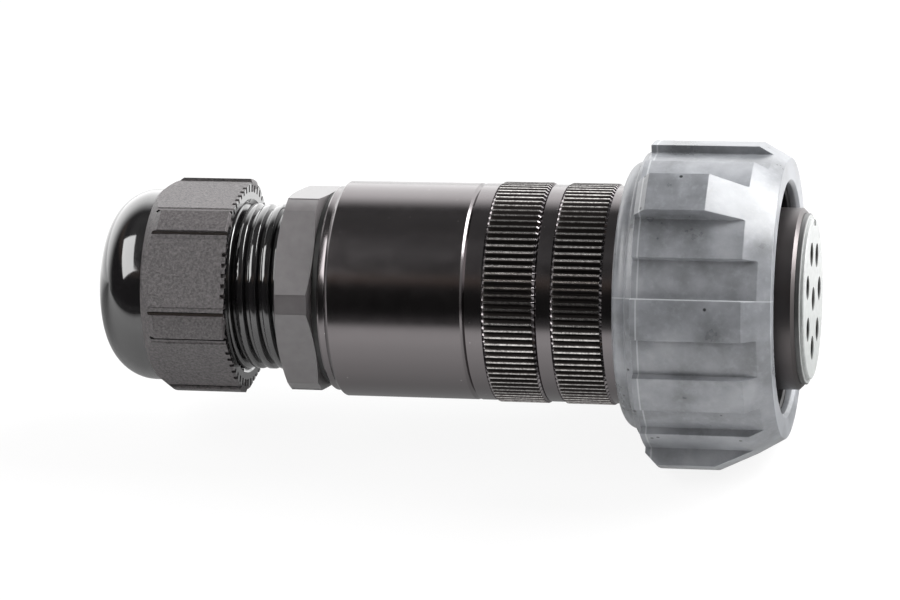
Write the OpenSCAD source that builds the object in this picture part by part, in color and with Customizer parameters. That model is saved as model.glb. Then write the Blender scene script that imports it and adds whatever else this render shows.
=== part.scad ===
// Push pull circular plug with a cable gland.
// The plug's axis is X: the mating face is at x = 0 and the cable leaves towards -X.
// Along the axis every station is a z in the pieces' own turning frame, which along_x() lays over.

/* [Insert and contacts] */
// Diameter of the insert's mating face
face_d = 23.6; // [22:0.1:24.4]
// Diameter of the insert's flange behind the face
insert_flange_d = 25.2; // [24.8:0.1:26]
// Thickness of that flange
insert_flange_t = 1.25; // [1:0.05:1.6]
// Pitch circle of the outer contacts
contact_pcd = 14.4; // [13.6:0.1:15.2]
// Entry holes in the mating face
entry_d = 3.6; // [3.2:0.1:3.8]
// Depth of the entry holes
entry_depth = 1.6; // [1.2:0.1:2]
// Outer diameter of a socket contact
contact_d = 3.1; // [3:0.1:3.2]
// Bore of a socket contact, the pin's size
socket_d = 2.4; // [2:0.1:2.6]
// Depth of the socket bore
socket_depth = 9; // [7:0.5:10]
// Shoulder on a contact
contact_shoulder_d = 4.4; // [4.1:0.1:4.6]
// Crimp barrel of a contact
crimp_d = 4; // [3.9:0.1:4.2]
// Bore of the crimp barrel
crimp_bore_d = 2.6; // [2:0.1:2.8]
// How far the crimp barrel stands behind the insert
crimp_len = 7; // [5:0.5:8]
// Length of the front insulator behind its flange
front_insert_len = 12.8; // [12:0.1:14]
// Length of the rear insulator
rear_insert_len = 10; // [8:0.5:11]

/* [Plug shell] */
// Outer diameter of the mating barrel
barrel_d = 26.8; // [26.4:0.1:27]
// Wall of the mating barrel
barrel_wall = 2.15; // [1.9:0.05:2.3]
// Neck that guides the coupling sleeve
neck_d = 28; // [27.6:0.1:28.4]
// Spigot that screws in the housing
shell_spigot_d = 25.2; // [24.9:0.1:25.6]
// Length of that spigot
shell_spigot_len = 7.5; // [6:0.5:9]

/* [Coupling sleeve] */
// How far the rim sits behind the mating face
rim_setback = 3.6; // [3:0.1:4.5]
// Length of the grip, from the rim to the blocks' rear ends
grip_len = 20; // [19:0.5:22]
// Length of the smooth flange behind the grip
flange_len = 3.4; // [3:0.1:4]
// Diameter of that flange
flange_d = 39.8; // [39:0.2:41]
// Corner radius of that flange
flange_round = 2; // [1:0.1:2.1]
// Collar between the flange and the blocks
collar_d = 43; // [42.4:0.1:43.4]
// Width of that collar
collar_len = 0.9; // [0.6:0.1:1.2]
// Diameter of the rim's outer edge
rim_d = 41.4; // [40.6:0.2:42]
// Diameter of the mouth
mouth_d = 34.1; // [33.8:0.1:34.4]
// Diameter over the low blocks
low_block_d = 43.6; // [43.5:0.1:44.4]
// Diameter over the high blocks
high_block_d = 46; // [45:0.2:47]
// Diameter over the tall blocks
tall_block_d = 51.2; // [49:0.2:53]
// Slope of the front taper up to the high blocks, in degrees
front_taper = 30; // [27:1:33]
// Slope of the front taper up to the tall blocks, in degrees
tall_taper = 25; // [22:1:28]
// Chamfer on the tall blocks' rear ends
tall_chamfer = 1.8; // [1:0.1:2.4]
// Angle of the first tall block round the axis, from +Y towards +Z
tall_angle = 236.2; // [230:0.2:242]
// Travel of the sleeve when it is pulled back
sleeve_travel = 3; // [2:0.1:3.2]
// Wall of the metal liner inside the sleeve
liner_wall = 1.7; // [1.4:0.1:1.9]
// Thickness of the latch fingers
finger_t = 0.7; // [0.6:0.05:0.8]
// Wire of the return spring
spring_wire = 0.9; // [0.7:0.05:0.95]

/* [Housing and backshell] */
// Diameter of the smooth turned body
body_d = 32.4; // [32:0.1:32.5]
// Diameter over the knurls
knurl_d = 32.9; // [32.7:0.1:33.1]
// Depth of the knurl's grooves
knurl_depth = 0.42; // [0.3:0.02:0.5]
// Chamfer at the ends of the knurls
knurl_chamfer = 0.45; // [0.35:0.05:0.6]
// Smooth neck that shows between the sleeve and the front knurl
neck_show = 1.8; // [1.5:0.1:2.5]
// Length of the knurl on the housing
front_knurl_len = 7.6; // [7:0.1:9]
// Smooth strip behind the housing's knurl
front_strip = 2.35; // [2:0.05:3]
// Length of the knurl on the backshell
rear_knurl_len = 7.85; // [7:0.05:9]
// Smooth strip behind the backshell's knurl
rear_strip = 2.3; // [2:0.1:3]
// Length of the plain backshell
plain_len = 20.9; // [19:0.1:24]
// Wall of the backshell
backshell_wall = 2.8; // [2.4:0.1:3]
// How much larger the housing's spigot in the backshell is than the shell's own spigot
housing_spigot_extra = 2.8; // [2.4:0.1:3]
// Length of that spigot
housing_spigot_len = 6.25; // [5.5:0.25:7]
// Collar behind the backshell's rear chamfer
rear_collar_d = 30.8; // [30:0.1:31.4]
// Length of that collar and its chamfer
rear_collar_len = 1.8; // [1.5:0.1:2.2]

/* [Cable gland] */
// Diameter of the gland's threads
gland_thread_d = 25; // [24.6:0.1:25]
// Pitch of the clamping thread
gland_pitch = 2; // [1.5:0.25:2]
// Thickness of the gasket under the hex flange
gasket_t = 0.9; // [0.7:0.1:1.2]
// Width across flats of the hex flange
hex_af = 29; // [28.4:0.1:29.4]
// Thickness of the hex flange
hex_len = 5.7; // [5:0.1:6.5]
// Thread that shows between the flange and the cap nut
thread_show = 7.5; // [6:0.5:8]
// Length of the clamping thread
thread_len = 14.3; // [13.5:0.1:15]
// Spigot that screws in the backshell
gland_spigot_len = 9; // [8:0.5:10]
// Cable bore of the gland body
gland_bore_d = 18.6; // [18:0.1:19]
// Length of the clamping claws
claw_len = 5; // [4.5:0.1:5.5]
// How much smaller in radius the claws are than the thread
claw_step = 0.7; // [0.5:0.05:1]
// Outer diameter of the rubber seal
seal_d = 21.2; // [20.8:0.1:21.4]
// Bore of the rubber seal, the largest cable
cable_d = 17; // [16:0.1:17.2]
// Width across flats of the cap nut
nut_af = 29.5; // [29:0.1:30]
// Diameter over the cap nut's corner lands
nut_land_d = 32.8; // [32.6:0.1:33.4]
// Length of the cap nut's hexagon
nut_hex_len = 12.5; // [12:0.1:14]
// Length of the cap nut's dome
dome_len = 9.6; // [9:0.1:10.6]
// Radius of the dome's shoulder
dome_round = 7; // [6:0.1:7.5]
// Cable hole in the cap nut
nut_hole_d = 17.8; // [17.6:0.1:18.4]
// Travel of the cap nut when it is tightened
nut_travel = 4; // [3:0.5:4]

/* [Fits] */
// Clearance of a seated or screwed piece, on the radius
seat_fit = 0.05; // [0.02:0.01:0.06]
// Running clearance of a sliding or turning piece, on the radius
running_fit = 0.08; // [0.04:0.01:0.1]
// Clearance round a moving piece that touches nothing
free_gap = 0.3; // [0.25:0.05:0.4]

/* [Hidden] */
$fn = 96;
CONTACTS = 7;
contact_nodes = [for (k = [1:CONTACTS + 1]) str("contact_", k)];

// Angles round the axis, from +Y towards +Z
contact_angle = 88;
key_angle = 62;
hex_angle = 12;
nut_angle = 26;

// Stations of the mating end
z_flange = -insert_flange_t;
z_insert_split = z_flange - front_insert_len;
z_insert_rear = z_insert_split - rear_insert_len;
z_rim = -rim_setback;
z_grip_rear = z_rim - grip_len;
z_sleeve_rear = z_grip_rear - flange_len;
neck_shoulder = 1.5;
z_neck_rear = z_sleeve_rear + neck_shoulder;
z_shell_rear = z_neck_rear - shell_spigot_len;
lip_len = 1.4;
z_liner_front = z_rim - lip_len;

// Inside the coupling sleeve, from the mouth's floor back to the spring's seat
r_neck = neck_d / 2;
r_barrel = barrel_d / 2;
r_shell_bore = r_barrel - barrel_wall;
seal_t = 1.2;
finger_len = 5.2;
latch_base_t = 1.8;
latch_seat_step = 0.25;
r_latch_seat = r_barrel + latch_seat_step;
z_finger_tip = z_liner_front - 1.5;
z_latch_front = z_finger_tip - finger_len;
z_latch_rear = z_latch_front - latch_base_t;
z_neck_front = z_latch_rear;
stop_t = 1;
stop_setback = 0.8;
z_stop_front = z_neck_front - stop_setback;
z_stop_rear = z_stop_front - stop_t;
liner_flange_t = 3.2;
z_liner_flange = z_stop_rear - 0.1;
z_liner_rear = z_liner_flange - liner_flange_t;
seat_t = 0.4;
z_spring_rear = z_neck_rear + seat_t;
mouth_step = 0.15;
r_liner = mouth_d / 2 + liner_wall - mouth_step;
r_liner_bore = r_liner - liner_wall;
land_h = 0.3;
r_finger = r_liner_bore - land_h - free_gap;
stop_height = 1.2;
r_stop = r_neck + stop_height;
stop_groove = 0.9;
r_sleeve_rear_bore = knurl_d / 2 + free_gap + 0.1;

// Stations of the housing, the backshell and the gland
z_front_knurl = z_sleeve_rear - neck_show;
z_front_knurl_end = z_front_knurl - front_knurl_len;
z_split = z_front_knurl_end - front_strip;
z_rear_knurl_end = z_split - rear_knurl_len;
z_groove = z_rear_knurl_end - rear_strip;
z_plain_end = z_groove - plain_len;
z_backshell_rear = z_plain_end - rear_collar_len;
z_hex_front = z_backshell_rear - gasket_t;
z_hex_rear = z_hex_front - hex_len;
z_thread_end = z_hex_rear - thread_len;
z_claw_end = z_thread_end - claw_len;
z_nut_front = z_hex_rear - thread_show;
z_nut_hex_rear = z_nut_front - nut_hex_len;
z_nut_rear = z_nut_hex_rear - dome_len;
r_body = body_d / 2;
r_housing_bore = shell_spigot_d / 2 - 0.6;
housing_spigot_d = shell_spigot_d + housing_spigot_extra;
z_housing_rear = z_split - housing_spigot_len;
z_gland_spigot = z_hex_front + gland_spigot_len;
r_gland = gland_thread_d / 2;
seal_proud = 0.5;
seal_len = 9;
z_seal_rear = z_claw_end - seal_proud;
z_seal_front = z_seal_rear + seal_len;
nut_lip = 1.8;
z_cone = z_claw_end - nut_travel + 1;
z_cone_end = z_nut_rear + nut_lip;
r_nut_bore = r_gland + running_fit;
r_nut_hole = nut_hole_d / 2;
z_slip_front = z_claw_end - nut_travel - 1.5;
slip_t = 1.6;

// Seals with a round section, which their grooves take
o_ring_r = 0.5;
o_ring_groove = 2 * o_ring_r;
wall_under_groove = 0.4;

// Radius of the cap nut's inner cone at a station
function cone_r(z) = r_nut_bore + (z - z_cone) / (z_cone_end - z_cone) * (r_nut_hole + 0.1 - r_nut_bore);

// Points of an arc from angle a to angle b, in a radius and station plane
function arc(r, z, radius, a, b, steps = 8) =
    [for (i = [0:steps]) let (t = a + (b - a) * i / steps) [r + radius * cos(t), z + radius * sin(t)]];

// Lays the turning axis along X, with the mating end towards +X
module along_x() {
    rotate([90, 0, 90]) children();
}

module turned(profile) {
    rotate_extrude() polygon(profile);
}

module ring(r_in, r_out, z_low, z_high) {
    turned([[r_in, z_low], [r_out, z_low], [r_out, z_high], [r_in, z_high]]);
}

module o_ring(r_seat, z) {
    rotate_extrude() translate([r_seat + o_ring_r, z]) circle(r = o_ring_r, $fn = 48);
}

// Cuts that run along the axis, spread evenly round it
module slots(count, width, r_in, r_out, z_low, z_high) {
    for (k = [0:count - 1])
        rotate([0, 0, 360 * k / count])
            translate([r_in, -width / 2, z_low]) cube([r_out - r_in, width, z_high - z_low]);
}

// Hexagon with flats, and arcs proud of them at its corners, half_land degrees each side
module landed_hexagon(af, r_land, half_land) {
    to_corner = 30;
    flat_end = to_corner - half_land;
    corner = [for (i = [-3:3]) to_corner + i * half_land / 3];
    polygon([
        for (side = [0:5]) let (a = 60 * side)
            each concat(
                [for (s = [-1, 1]) af / 2 / cos(flat_end) * [cos(a + s * flat_end), sin(a + s * flat_end)]],
                [for (t = corner) r_land * [cos(a + t), sin(a + t)]]
            )
    ]);
}

// ---- Coupling sleeve ----

r_rim = rim_d / 2;
r_high = high_block_d / 2;
r_tall = tall_block_d / 2;
z_high_front = z_rim - (r_high - r_rim) / tan(front_taper);
z_tall_front = z_high_front - (r_tall - r_high) / tan(tall_taper);
BLOCKS = 24;
block_step = 360 / BLOCKS;

// Outside of the grip as if every block were tall
module sleeve_blank() {
    r_inside = r_sleeve_rear_bore - 1;
    turned(concat(
        [[r_inside, z_sleeve_rear]],
        arc(flange_d / 2 - flange_round, z_sleeve_rear + flange_round, flange_round, -90, 0),
        [[flange_d / 2, z_grip_rear - collar_len - 0.4], [collar_d / 2 - 0.3, z_grip_rear - collar_len],
         [collar_d / 2, z_grip_rear], [r_tall - tall_chamfer, z_grip_rear],
         [r_tall, z_grip_rear + tall_chamfer], [r_tall, z_tall_front], [r_high, z_high_front],
         [r_rim, z_rim], [r_inside, z_rim]]
    ));
}

// Part of a disc: a sector of blocks, centred on angle zero
module sector(r, blocks) {
    half = blocks * block_step / 2;
    intersection() {
        circle(r);
        polygon([[0, 0], for (s = [-1:1]) 2 * r * [cos(s * half), sin(s * half)]]);
    }
}

// Cross-section of the grip: three tall blocks, with high and low blocks by turns between them
module grip_section() {
    circle(d = low_block_d);
    for (tall = [0:2])
        rotate(tall_angle + 120 * tall) {
            sector(r_tall + 1, 1);
            sector(r_high, 3);
            for (high = [3, 5]) rotate(high * block_step) sector(r_high, 1);
        }
}

module coupling_sleeve() {
    color("#868c90") along_x() difference() {
        intersection() {
            sleeve_blank();
            translate([0, 0, z_sleeve_rear - 1]) linear_extrude(grip_len + flange_len + 2) grip_section();
        }
        turned([
            [0, z_sleeve_rear - 1], [r_sleeve_rear_bore, z_sleeve_rear - 1],
            [r_sleeve_rear_bore, z_liner_rear], [r_liner + seat_fit, z_liner_rear],
            [r_liner + seat_fit, z_liner_front], [mouth_d / 2, z_liner_front],
            [mouth_d / 2, z_rim - 0.5], [mouth_d / 2 + 0.5, z_rim], [mouth_d / 2 + 0.5, z_rim + 1],
            [0, z_rim + 1]
        ]);
    }
}

// Metal cam ring inside the grip: its front land holds the latch fingers shut
module sleeve_liner() {
    r_guide = r_neck + running_fit;
    land_len = 3.5;
    color("#2a2a2c") along_x() turned([
        [r_guide, z_liner_rear], [r_liner, z_liner_rear], [r_liner, z_liner_front],
        [r_liner_bore, z_liner_front], [r_liner_bore - land_h, z_liner_front - land_h],
        [r_liner_bore - land_h, z_liner_front - land_len],
        [r_liner_bore, z_liner_front - land_len - land_h],
        [r_liner_bore, z_liner_flange], [r_guide, z_liner_flange]
    ]);
}

// Centre line and tube of the return spring, with flat end turns
SPRING_TURNS = 3;
spring_r = (r_neck + r_sleeve_rear_bore) / 2;
spring_steps = 28 * SPRING_TURNS;
spring_low = z_spring_rear + spring_wire / 2;
spring_rise = z_liner_rear - z_spring_rear - spring_wire;
function spring_z(u) = spring_low + spring_rise * (1 - cos(180 * u)) / 2;
function spring_point(i, j, sides) =
    let (a = 360 * SPRING_TURNS * i / spring_steps, b = 360 * j / sides,
         r = spring_r + spring_wire / 2 * cos(b))
    [r * cos(a), r * sin(a), spring_z(i / spring_steps) + spring_wire / 2 * sin(b)];

module return_spring() {
    sides = 8;
    points = [for (i = [0:spring_steps]) for (j = [0:sides - 1]) spring_point(i, j, sides)];
    last = spring_steps * sides;
    walls = [for (i = [0:spring_steps - 1]) for (j = [0:sides - 1])
        let (a = i * sides + j, b = i * sides + (j + 1) % sides) [a, b, b + sides, a + sides]];
    ends = [[for (j = [sides - 1:-1:0]) j], [for (j = [0:sides - 1]) last + j]];
    color("#b9bcc0") along_x() polyhedron(points, concat(walls, ends), convexity = 6);
}

module spring_seat() {
    color("#9a9da1") along_x() ring(r_neck + seat_fit, r_body - 0.1, z_neck_rear, z_spring_rear);
}

// Open snap ring that stops the sleeve's forward travel
module sleeve_stop_ring() {
    color("#9a9da1") along_x() difference() {
        ring(r_neck - stop_groove + seat_fit, r_stop, z_stop_rear, z_stop_front);
        slots(1, 4, 0, r_stop + 1, z_stop_rear - 1, z_stop_front + 1);
    }
}

// Collet whose fingers hook the mating shell
module latch_ring() {
    hook = 0.35;
    r_in = r_finger - finger_t;
    color("#3a3b3e") along_x() difference() {
        turned([
            [r_latch_seat + seat_fit, z_latch_rear], [r_finger, z_latch_rear], [r_finger, z_finger_tip - 0.3],
            [r_finger - 0.3, z_finger_tip], [r_in - hook, z_finger_tip - 0.3],
            [r_in - hook, z_finger_tip - 0.9], [r_in, z_finger_tip - 0.9 - hook],
            [r_in, z_latch_front], [r_latch_seat + seat_fit, z_latch_front]
        ]);
        slots(8, 1.2, r_in - 1, r_finger + 1, z_latch_front, z_finger_tip + 1);
    }
}

module mating_seal() {
    color("#1c1c1d") along_x()
        ring(r_latch_seat + seat_fit, r_finger - finger_t - 0.2, z_latch_front, z_latch_front + seal_t);
}

// ---- Plug shell, insulators and contacts ----

module plug_shell() {
    edge = 0.5;
    r_spigot = shell_spigot_d / 2;
    r_spigot_bore = r_spigot - o_ring_groove - wall_under_groove;
    r_groove = r_neck - stop_groove;
    z_step = z_insert_rear - lock_t - seat_fit;
    color("#1d1c1d") along_x() difference() {
        turned([
            [r_shell_bore, z_step], [r_spigot_bore, z_step], [r_spigot_bore, z_shell_rear],
            [r_spigot - edge, z_shell_rear], [r_spigot, z_shell_rear + edge],
            [r_spigot, z_neck_rear], [r_neck, z_neck_rear], [r_neck, z_stop_rear], [r_groove, z_stop_rear],
            [r_groove, z_stop_front], [r_neck, z_stop_front], [r_neck, z_neck_front],
            [r_latch_seat, z_neck_front], [r_latch_seat, z_latch_front + seal_t],
            [r_barrel, z_latch_front + seal_t], [r_barrel, z_flange - edge], [r_barrel - edge, z_flange],
            [r_shell_bore, z_flange]
        ]);
        ring(r_spigot - o_ring_groove, r_spigot + 1, z_shell_seal - o_ring_r - 0.1,
            z_shell_seal + o_ring_r + 0.1);
    }
}

module shell_o_ring() {
    color("#1c1c1d") along_x() o_ring(shell_spigot_d / 2 - o_ring_groove, z_shell_seal);
}

// Places children at each contact: the outer circle first, then the centre
module at_contact(k) {
    r = k <= CONTACTS ? contact_pcd / 2 : 0;
    rotate([0, 0, contact_angle - 360 / CONTACTS * (k - 1)]) translate([r, 0, 0]) children();
}

z_contact_front = -entry_depth - 0.15;
lock_t = 2.4;
z_shell_seal = z_neck_rear - 2.2;
shoulder_t = 1.4;
z_shoulder_front = z_insert_split + shoulder_t;
r_insert = r_shell_bore - seat_fit;

module insert_front() {
    step_h = 0.55;
    key_w = 1.8;
    color("#d9dbdc") along_x() difference() {
        turned([
            [0, z_insert_split], [r_insert, z_insert_split], [r_insert, z_flange],
            [insert_flange_d / 2, z_flange], [insert_flange_d / 2, -step_h - 0.1],
            [insert_flange_d / 2 - 0.2, -step_h], [face_d / 2, -step_h], [face_d / 2, -0.15],
            [face_d / 2 - 0.15, 0], [0, 0]
        ]);
        for (k = [1:CONTACTS + 1])
            at_contact(k) {
                translate([0, 0, -entry_depth]) cylinder(d = entry_d, h = entry_depth + 1);
                translate([0, 0, z_insert_split - 1])
                    cylinder(r = contact_d / 2 + seat_fit, h = front_insert_len + insert_flange_t);
                translate([0, 0, z_insert_split - 1])
                    cylinder(r = contact_shoulder_d / 2 + seat_fit, h = shoulder_t + 1);
            }
        rotate([0, 0, key_angle])
            translate([face_d / 2 - 1, -key_w / 2, -step_h]) cube([2, key_w, 1]);
    }
}

module insert_rear() {
    color("#c9cbcd") along_x() difference() {
        ring(0, r_insert, z_insert_rear, z_insert_split);
        for (k = [1:CONTACTS + 1])
            at_contact(k) translate([0, 0, z_insert_rear - 1])
                cylinder(r = crimp_d / 2 + seat_fit, h = rear_insert_len + 2);
    }
}

// Threaded ring with two spanner slots, it holds both insulators in the shell
module insert_lock_ring() {
    color("#4a4b4e") along_x() difference() {
        ring(r_insert - 1.5, r_insert, z_insert_rear - lock_t, z_insert_rear);
        slots(2, 2, 0, r_insert + 1, z_insert_rear - lock_t - 1, z_insert_rear - lock_t + 1);
    }
}

// Turned socket contact with its shoulder and crimp barrel
module contact(k) {
    z_rear = z_insert_rear - crimp_len;
    r = contact_d / 2;
    r_crimp = crimp_d / 2;
    color("#c9a24a") along_x() at_contact(k) turned([
        [0, z_rear + crimp_len - 0.5], [crimp_bore_d / 2, z_rear + crimp_len - 1.2],
        [crimp_bore_d / 2, z_rear], [r_crimp, z_rear], [r_crimp, z_insert_split],
        [contact_shoulder_d / 2, z_insert_split], [contact_shoulder_d / 2, z_shoulder_front],
        [r, z_shoulder_front], [r, z_contact_front - 0.2], [r - 0.2, z_contact_front],
        [socket_d / 2, z_contact_front], [socket_d / 2, z_contact_front - socket_depth],
        [0, z_contact_front - socket_depth - 0.7]
    ]);
}

// ---- Housing and backshell ----

module knurl(z_low, z_high) {
    TEETH = 96;
    r = knurl_d / 2;
    intersection() {
        translate([0, 0, z_low]) linear_extrude(z_high - z_low)
            polygon([for (i = [0:2 * TEETH - 1])
                let (a = 180 * i / TEETH, q = i % 2 == 0 ? r : r - knurl_depth) q * [cos(a), sin(a)]]);
        turned([
            [0, z_low], [r - knurl_chamfer, z_low], [r, z_low + knurl_chamfer],
            [r, z_high - knurl_chamfer], [r - knurl_chamfer, z_high], [0, z_high]
        ]);
    }
}

module front_housing() {
    r_spigot = housing_spigot_d / 2;
    r_socket = shell_spigot_d / 2 + seat_fit;
    z_seal = z_split - 1.8;
    edge = 0.3;
    color("#1a1919") along_x() difference() {
        union() {
            turned([
                [0, z_housing_rear], [r_spigot - 0.5, z_housing_rear], [r_spigot, z_housing_rear + 0.5],
                [r_spigot, z_split], [r_body - edge, z_split], [r_body, z_split + edge],
                [r_body, z_neck_rear - edge], [r_body - edge, z_neck_rear], [0, z_neck_rear]
            ]);
            knurl(z_front_knurl_end, z_front_knurl);
        }
        ring(0, r_housing_bore, z_housing_rear - 1, z_neck_rear + 1);
        ring(0, r_socket, z_shell_rear - seat_fit, z_neck_rear + 1);
        ring(r_spigot - o_ring_groove, r_spigot + 1, z_seal - o_ring_r - 0.1, z_seal + o_ring_r + 0.1);
    }
}

module backshell_o_ring() {
    color("#1c1c1d") along_x() o_ring(housing_spigot_d / 2 - o_ring_groove, z_split - 1.8);
}

module backshell() {
    edge = 0.3;
    chamfer = 0.6;
    groove = 0.2;
    r_cavity = r_body - backshell_wall;
    r_collar = rear_collar_d / 2;
    r_socket = housing_spigot_d / 2 + seat_fit;
    r_tapped = r_gland + seat_fit;
    color("#1a1919") along_x() difference() {
        union() {
            turned([
                [0, z_backshell_rear], [r_collar - edge, z_backshell_rear],
                [r_collar, z_backshell_rear + edge], [r_collar, z_plain_end - chamfer],
                [r_body - chamfer, z_plain_end - chamfer], [r_body, z_plain_end],
                [r_body, z_groove - groove], [r_body - groove, z_groove], [r_body, z_groove + groove],
                [r_body, z_split], [0, z_split]
            ]);
            knurl(z_rear_knurl_end, z_split);
        }
        turned([
            [0, z_backshell_rear - 1], [r_tapped, z_backshell_rear - 1],
            [r_tapped, z_gland_spigot + 0.5], [r_cavity, z_gland_spigot + 0.5],
            [r_cavity, z_housing_rear - 0.2], [r_socket, z_housing_rear - 0.2],
            [r_socket, z_split + 1], [0, z_split + 1]
        ]);
    }
}

// ---- Cable gland ----

module gland_gasket() {
    gasket_w = 1.9;
    color("#161616") along_x() ring(r_gland + seat_fit, r_gland + gasket_w, z_hex_front, z_backshell_rear);
}

module gland_body() {
    r_bore = gland_bore_d / 2;
    r_seal = seal_d / 2 + seat_fit;
    r_claw = r_gland - claw_step;
    hex_half_land = 5.3;
    corner = 0.7;
    CLAWS = 12;
    color("#4d4a4b") along_x() difference() {
        union() {
            intersection() {
                rotate([0, 0, hex_angle]) translate([0, 0, z_hex_rear]) linear_extrude(hex_len)
                    landed_hexagon(hex_af, hex_af / 2 / cos(24), hex_half_land);
                turned([
                    [0, z_hex_rear], [hex_af / 2, z_hex_rear], [hex_af / 2 + 2, z_hex_rear + corner],
                    [hex_af / 2 + 2, z_hex_front - corner], [hex_af / 2, z_hex_front], [0, z_hex_front]
                ]);
            }
            turned([
                [0, z_claw_end], [r_claw - 0.4, z_claw_end], [r_claw, z_claw_end + 0.8],
                [r_claw, z_thread_end], [r_gland - 0.5, z_thread_end], [r_gland, z_thread_end + 0.5],
                [r_gland, z_gland_spigot - 0.5], [r_gland - 0.5, z_gland_spigot], [0, z_gland_spigot]
            ]);
        }
        ring(0, r_bore, z_claw_end - 1, z_gland_spigot + 1);
        ring(0, r_seal, z_claw_end - 1, z_seal_front);
        slots(CLAWS, 1.2, r_bore, r_claw + 1, z_claw_end - 1, z_thread_end);
    }
}

module gland_seal() {
    groove = 0.4;
    r = seal_d / 2;
    color("#141414") along_x() difference() {
        ring(cable_d / 2, r, z_seal_rear, z_seal_front);
        for (z = [z_thread_end - 1, z_thread_end - 3])
            ring(r - groove, r + 1, z - groove, z + groove);
    }
}

module gland_slip_ring() {
    gap = free_gap;
    z_low = z_slip_front - slip_t;
    color("#e4e2dc") along_x() turned([
        [r_nut_hole + 0.1, z_low], [cone_r(z_low) - gap, z_low],
        [cone_r(z_slip_front) - gap, z_slip_front], [r_nut_hole + 0.1, z_slip_front]
    ]);
}

module gland_nut() {
    r_flat = nut_af / 2;
    r_land = nut_land_d / 2;
    r_dome = r_flat - 0.15;
    nut_half_land = 6.5;
    chamfer_len = 2.7;
    corner = 0.8;
    bore_chamfer = 0.6;
    NOTCHES = 60;
    notch_w = 0.6;
    notch_depth = 0.5;
    notch_len = 1.8;
    // The land's chamfer runs from the hexagon's rear end on to the dome
    z_chamfer = z_nut_hex_rear + 0.7;
    color("#5f5b5c") along_x() difference() {
        union() {
            intersection() {
                rotate([0, 0, nut_angle]) translate([0, 0, z_nut_hex_rear - 2])
                    linear_extrude(nut_hex_len + 2) landed_hexagon(nut_af, r_land, nut_half_land);
                turned([
                    [0, z_nut_hex_rear - 2], [r_land - 1.5, z_chamfer - chamfer_len],
                    [r_land, z_chamfer], [r_land, z_nut_front - corner / 2],
                    [r_land - corner, z_nut_front], [0, z_nut_front]
                ]);
            }
            turned(concat(
                [[0, z_nut_front - 1], [0, z_nut_rear]],
                arc(r_dome - dome_round, z_nut_rear + dome_round, dome_round, -90, 0, 12),
                [[r_dome, z_nut_front - 1]]
            ));
        }
        turned([
            [0, z_nut_front + 1], [0, z_nut_rear - 1], [r_nut_hole + 0.6, z_nut_rear - 1],
            [r_nut_hole + 0.6, z_nut_rear], [r_nut_hole, z_nut_rear + 0.6], [r_nut_hole, z_cone_end],
            [r_nut_hole + 0.1, z_cone_end], [r_nut_bore, z_cone], [r_nut_bore, z_nut_front - bore_chamfer],
            [r_nut_bore + bore_chamfer, z_nut_front], [r_nut_bore + bore_chamfer, z_nut_front + 1]
        ]);
        // Ratchet teeth round the open end
        slots(NOTCHES, notch_w, r_nut_bore + bore_chamfer, r_nut_bore + bore_chamfer + notch_len,
            z_nut_front - notch_depth, z_nut_front + 1);
    }
}

coupling_sleeve();
sleeve_liner();
return_spring();
spring_seat();
sleeve_stop_ring();
latch_ring();
mating_seal();
plug_shell();
insert_front();
insert_rear();
insert_lock_ring();
front_housing();
shell_o_ring();
backshell();
backshell_o_ring();
gland_gasket();
gland_body();
gland_seal();
gland_slip_ring();
gland_nut();
for (k = [1:CONTACTS + 1])
    contact(k);
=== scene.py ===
import math

import bmesh
import bpy
from mathutils import Matrix, Vector


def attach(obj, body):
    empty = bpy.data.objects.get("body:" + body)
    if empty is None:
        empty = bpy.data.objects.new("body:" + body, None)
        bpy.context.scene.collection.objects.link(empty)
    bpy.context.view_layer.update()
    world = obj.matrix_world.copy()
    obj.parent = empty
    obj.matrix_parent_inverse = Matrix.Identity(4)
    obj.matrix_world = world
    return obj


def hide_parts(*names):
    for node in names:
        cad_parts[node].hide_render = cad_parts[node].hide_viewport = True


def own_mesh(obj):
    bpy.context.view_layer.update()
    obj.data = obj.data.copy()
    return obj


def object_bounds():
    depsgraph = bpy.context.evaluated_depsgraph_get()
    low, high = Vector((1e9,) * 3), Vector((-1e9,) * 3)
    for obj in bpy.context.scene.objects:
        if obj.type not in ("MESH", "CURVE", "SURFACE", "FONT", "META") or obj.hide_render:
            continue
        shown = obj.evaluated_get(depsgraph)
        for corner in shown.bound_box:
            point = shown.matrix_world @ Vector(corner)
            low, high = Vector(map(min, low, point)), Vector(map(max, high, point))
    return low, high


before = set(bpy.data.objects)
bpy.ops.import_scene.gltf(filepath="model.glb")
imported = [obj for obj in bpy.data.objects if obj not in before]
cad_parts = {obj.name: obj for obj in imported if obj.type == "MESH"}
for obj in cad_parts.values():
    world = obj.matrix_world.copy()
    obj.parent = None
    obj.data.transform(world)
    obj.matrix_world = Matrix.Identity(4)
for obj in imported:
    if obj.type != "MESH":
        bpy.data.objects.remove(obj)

cad_low, cad_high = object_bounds()
MM = 0.001

# ---------------------------------------------------------------- sizes of the plug, in mm
# The plug lies along X: its mating face is at x = 0 and its cable end towards -X.
# Angles are degrees round X, from +Y towards +Z.

# Coupling sleeve: the grip's blocks are low, high or tall, and their front ends taper to the rim. One tall
# block in each third of the turn, the first with its middle at TALL_ANGLE
SLEEVE_REAR, GRIP_REAR, GRIP_RIM = -27.0, -23.6, -3.6
R_LOW, R_HIGH, R_TALL, R_RIM = 21.8, 23.0, 25.6, 20.7
HIGH_TAPER, TALL_TAPER = math.tan(math.radians(30)), math.tan(math.radians(25))
BLOCK, TALL_PITCH, TALL_ANGLE = 15.0, 120.0, 236.2
TALL_REAR_CORNER = 1.8

# Lines that the mould left on the grip: a plane through the axis, and a ring
PARTING_ANGLE, WITNESS_X = TALL_ANGLE - 5.5 * BLOCK, -22.7

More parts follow.
